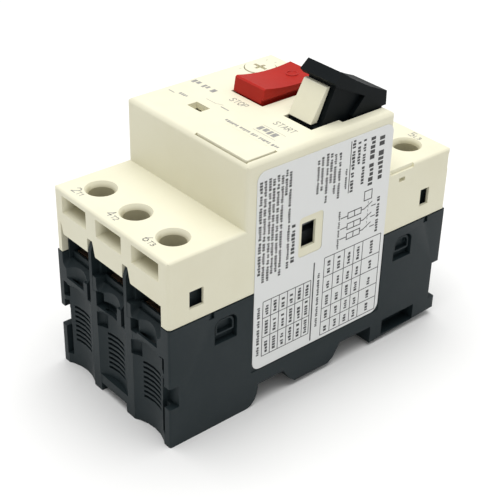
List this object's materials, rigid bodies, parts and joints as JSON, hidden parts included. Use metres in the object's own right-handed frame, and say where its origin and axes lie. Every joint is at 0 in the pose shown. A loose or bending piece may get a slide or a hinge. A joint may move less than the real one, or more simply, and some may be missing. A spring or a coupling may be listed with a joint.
{
  "type": "motor protection breaker",
  "caption": "Compact modular motor protection breaker with rocker start and stop buttons, current dial, screw terminals at both ends and a rail clip.",
  "frame": {"origin": "middle of the footprint on the plane of the rail-side feet", "axes": "X across the poles, +Y from the load terminals (start buttons' low numbers) to the line terminals, +Z from the rail side to the front"},
  "size_m": [0.0446, 0.089, 0.0786],
  "materials": {
    "cover_plastic": "ivory moulded polyamide with a fine satin texture",
    "base_plastic": "near-black glass-filled moulding, satin",
    "lever_plastic": "dark moulded lever, smoother than the base",
    "stop_plastic": "red moulded push button, semi-gloss",
    "label_film": null,
    "plated_steel": "zinc-plated steel",
    "copper": "bare copper alloy strip",
    "contact_metal": "silver-faced contact metal and bimetal strip",
    "grey_plastic": "grey internal moulding",
    "fibre": "grey fibre and steel splitter stack"
  },
  "bodies": {
    "breaker_body": {"base_housing": "base_plastic", "front_cover": "cover_plastic", "marking_flap": "cover_plastic", "rating_label": "label_film", "rail_clip_spring": "plated_steel", "rocker_pin": "plated_steel", "start_spring": "plated_steel", "stop_spring": "plated_steel", "inner_frame": "grey_plastic", "line_terminal_1": "copper", "load_terminal_1": "copper", "fixed_contact_1": "copper", "arc_chute_line_1": "fibre", "arc_chute_load_1": "fibre", "trip_coil_1": "copper", "bimetal_1": "contact_metal", "line_terminal_2": "copper", "load_terminal_2": "copper", "fixed_contact_2": "copper", "arc_chute_line_2": "fibre", "arc_chute_load_2": "fibre", "trip_coil_2": "copper", "bimetal_2": "contact_metal", "line_terminal_3": "copper", "load_terminal_3": "copper", "fixed_contact_3": "copper", "arc_chute_line_3": "fibre", "arc_chute_load_3": "fibre", "trip_coil_3": "copper", "bimetal_3": "contact_metal"},
    "start_lever": {"start_button": "lever_plastic", "start_shield": "cover_plastic"},
    "stop_lever": {"stop_button": "stop_plastic"},
    "dial": {"current_dial": "cover_plastic"},
    "test_lever": {"test_slider": "cover_plastic"},
    "trip_shaft": {"trip_bar": "grey_plastic"},
    "contact_bar": {"contact_carrier": "grey_plastic", "contact_bridge_1": "contact_metal", "contact_bridge_2": "contact_metal", "contact_bridge_3": "contact_metal", "contact_spring_1": "plated_steel", "contact_spring_2": "plated_steel", "contact_spring_3": "plated_steel"},
    "clip": {"rail_clip": "base_plastic"},
    "clamp_load_1": {"clamp_plate_load_1": "plated_steel"},
    "screw_load_1": {"terminal_screw_load_1": "plated_steel"},
    "clamp_load_2": {"clamp_plate_load_2": "plated_steel"},
    "screw_load_2": {"terminal_screw_load_2": "plated_steel"},
    "clamp_load_3": {"clamp_plate_load_3": "plated_steel"},
    "screw_load_3": {"terminal_screw_load_3": "plated_steel"},
    "clamp_line_1": {"clamp_plate_line_1": "plated_steel"},
    "screw_line_1": {"terminal_screw_line_1": "plated_steel"},
    "clamp_line_2": {"clamp_plate_line_2": "plated_steel"},
    "screw_line_2": {"terminal_screw_line_2": "plated_steel"},
    "clamp_line_3": {"clamp_plate_line_3": "plated_steel"},
    "screw_line_3": {"terminal_screw_line_3": "plated_steel"}
  },
  "joints": [
    {"name": "start_press", "type": "hinge", "parent": "breaker_body", "child": "start_lever", "pos_m": [0.0129, 0.0176, 0.0623], "axis": [1, 0, 0], "range_deg": [0, 16], "deforming": ["start_spring"]},
    {"name": "stop_press", "type": "hinge", "parent": "breaker_body", "child": "stop_lever", "pos_m": [-0.0047, 0.0176, 0.0623], "axis": [1, 0, 0], "range_deg": [0, 5], "deforming": ["stop_spring"]},
    {"name": "contact_travel", "type": "slide", "parent": "breaker_body", "child": "contact_bar", "axis": [0, 0, -1], "range_m": [0, 0.0025]},
    {"name": "dial_turn", "type": "hinge", "parent": "breaker_body", "child": "dial", "pos_m": [-0.0164, 0.0136, 0.0667], "axis": [0, 0, 1], "range_deg": [-120, 120]},
    {"name": "test_travel", "type": "slide", "parent": "breaker_body", "child": "test_lever", "axis": [1, 0, 0], "range_m": [0, 0.0016]},
    {"name": "trip_turn", "type": "hinge", "parent": "breaker_body", "child": "trip_shaft", "pos_m": [0, -0.0256, 0.046], "axis": [-1, 0, 0], "range_deg": [0, 8]},
    {"name": "clip_travel", "type": "slide", "parent": "breaker_body", "child": "clip", "axis": [0, 1, 0], "range_m": [0, 0.003], "deforming": ["rail_clip_spring"]},
    {"name": "clamp_load_1_travel", "type": "slide", "parent": "breaker_body", "child": "clamp_load_1", "axis": [0, 0, -1], "range_m": [0, 0.004]},
    {"name": "screw_load_1_turn", "type": "hinge", "parent": "clamp_load_1", "child": "screw_load_1", "pos_m": [-0.0138, -0.0366, 0.04], "axis": [0, 0, -1], "range_deg": [0, 2057.14]},
    {"name": "clamp_load_2_travel", "type": "slide", "parent": "breaker_body", "child": "clamp_load_2", "axis": [0, 0, -1], "range_m": [0, 0.004]},
    {"name": "screw_load_2_turn", "type": "hinge", "parent": "clamp_load_2", "child": "screw_load_2", "pos_m": [0, -0.0366, 0.04], "axis": [0, 0, -1], "range_deg": [0, 2057.14]},
    {"name": "clamp_load_3_travel", "type": "slide", "parent": "breaker_body", "child": "clamp_load_3", "axis": [0, 0, -1], "range_m": [0, 0.004]},
    {"name": "screw_load_3_turn", "type": "hinge", "parent": "clamp_load_3", "child": "screw_load_3", "pos_m": [0.0138, -0.0366, 0.04], "axis": [0, 0, -1], "range_deg": [0, 2057.14]},
    {"name": "clamp_line_1_travel", "type": "slide", "parent": "breaker_body", "child": "clamp_line_1", "axis": [0, 0, -1], "range_m": [0, 0.004]},
    {"name": "screw_line_1_turn", "type": "hinge", "parent": "clamp_line_1", "child": "screw_line_1", "pos_m": [-0.0138, 0.0366, 0.04], "axis": [0, 0, -1], "range_deg": [0, 2057.14]},
    {"name": "clamp_line_2_travel", "type": "slide", "parent": "breaker_body", "child": "clamp_line_2", "axis": [0, 0, -1], "range_m": [0, 0.004]},
    {"name": "screw_line_2_turn", "type": "hinge", "parent": "clamp_line_2", "child": "screw_line_2", "pos_m": [0, 0.0366, 0.04], "axis": [0, 0, -1], "range_deg": [0, 2057.14]},
    {"name": "clamp_line_3_travel", "type": "slide", "parent": "breaker_body", "child": "clamp_line_3", "axis": [0, 0, -1], "range_m": [0, 0.004]},
    {"name": "screw_line_3_turn", "type": "hinge", "parent": "clamp_line_3", "child": "screw_line_3", "pos_m": [0.0138, 0.0366, 0.04], "axis": [0, 0, -1], "range_deg": [0, 2057.14]}
  ],
  "couplings": [
    {"joint": "contact_travel", "follows": "start_press", "m_per_rad": 0.0089525}
  ]
}
